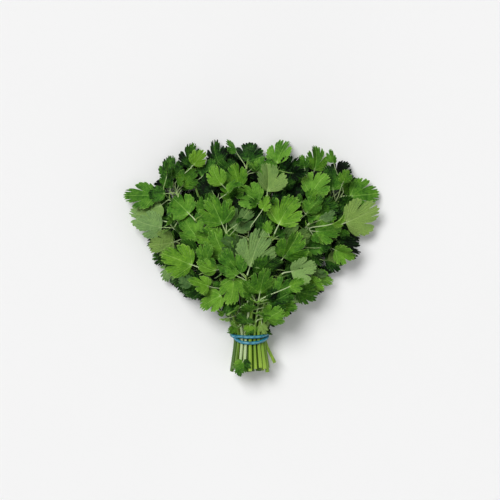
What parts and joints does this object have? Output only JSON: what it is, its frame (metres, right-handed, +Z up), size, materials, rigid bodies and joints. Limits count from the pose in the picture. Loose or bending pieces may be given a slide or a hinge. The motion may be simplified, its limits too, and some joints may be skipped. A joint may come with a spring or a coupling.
{
  "type": "coriander bunch",
  "caption": "Tied bunch of fresh coriander lying on its side: cut stems held by a doubled elastic band, leaves fanned out.",
  "frame": {"origin": "middle of the bunch's footprint, on the surface that it lies on", "axes": "+Z up from that surface, +Y from the cut stems towards the leaves, +X across the fan of leaves"},
  "size_m": [0.2348, 0.2166, 0.0584],
  "materials": {
    "sprig": "fresh green leaf with a soft waxy sheen; pale green ribbed stems",
    "elastic": "teal-blue elastic, slightly glossy"
  },
  "bodies": {
    "root": {"sprig_01": "sprig", "sprig_02": "sprig", "sprig_03": "sprig", "sprig_04": "sprig", "sprig_05": "sprig", "sprig_06": "sprig", "sprig_07": "sprig", "sprig_08": "sprig", "sprig_09": "sprig", "sprig_10": "sprig", "sprig_11": "sprig", "sprig_12": "sprig", "sprig_13": "sprig", "sprig_14": "sprig", "sprig_15": "sprig", "sprig_16": "sprig", "sprig_17": "sprig", "sprig_18": "sprig", "sprig_19": "sprig", "sprig_20": "sprig", "sprig_21": "sprig", "sprig_22": "sprig", "sprig_23": "sprig", "sprig_24": "sprig", "sprig_25": "sprig", "sprig_26": "sprig", "sprig_27": "sprig", "sprig_28": "sprig", "sprig_29": "sprig", "sprig_30": "sprig", "sprig_31": "sprig", "sprig_32": "sprig", "sprig_33": "sprig", "sprig_34": "sprig", "sprig_35": "sprig", "sprig_36": "sprig", "sprig_37": "sprig", "sprig_38": "sprig", "sprig_39": "sprig", "sprig_40": "sprig", "sprig_41": "sprig", "sprig_42": "sprig", "sprig_43": "sprig", "sprig_44": "sprig", "sprig_45": "sprig", "sprig_46": "sprig", "sprig_47": "sprig", "sprig_48": "sprig", "sprig_49": "sprig", "sprig_50": "sprig", "sprig_51": "sprig", "sprig_52": "sprig", "sprig_53": "sprig", "sprig_54": "sprig", "sprig_55": "sprig", "sprig_56": "sprig", "sprig_57": "sprig", "sprig_58": "sprig", "elastic_band": "elastic"}
  },
  "joints": []
}
